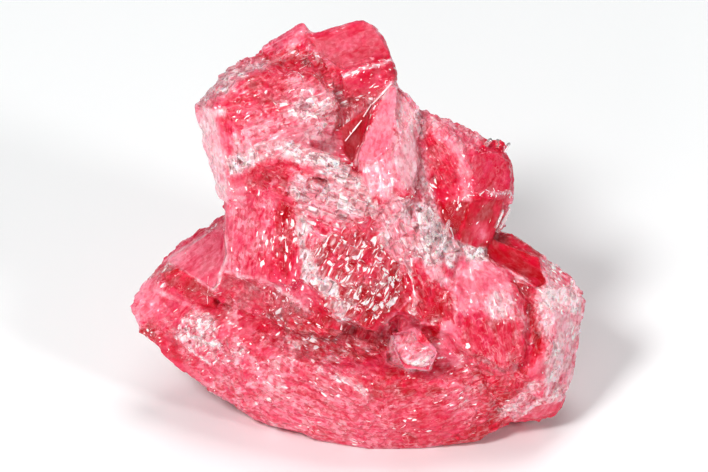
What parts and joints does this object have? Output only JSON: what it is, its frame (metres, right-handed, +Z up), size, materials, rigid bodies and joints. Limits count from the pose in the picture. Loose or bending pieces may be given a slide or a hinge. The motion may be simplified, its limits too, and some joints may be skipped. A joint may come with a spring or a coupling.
{
  "type": "rhodonite specimen",
  "caption": "Intergrown cluster of pink-red rhodonite crystals with cleaved faces and sugary frosted breaks, standing on its own flat broken base.",
  "frame": {"origin": "on the plane of the flat base, below the middle of the bounding box", "axes": "+Z up, +X to the viewer's right along the widest extent, -Y towards the leaning crystal front"},
  "size_m": [0.032, 0.02, 0.0266],
  "materials": {
    "rhodonite": "translucent pink-red crystal with a glassy lustre, frosted white where it is broken"
  },
  "bodies": {
    "root": {"rhodonite_cluster": "rhodonite"}
  },
  "joints": []
}
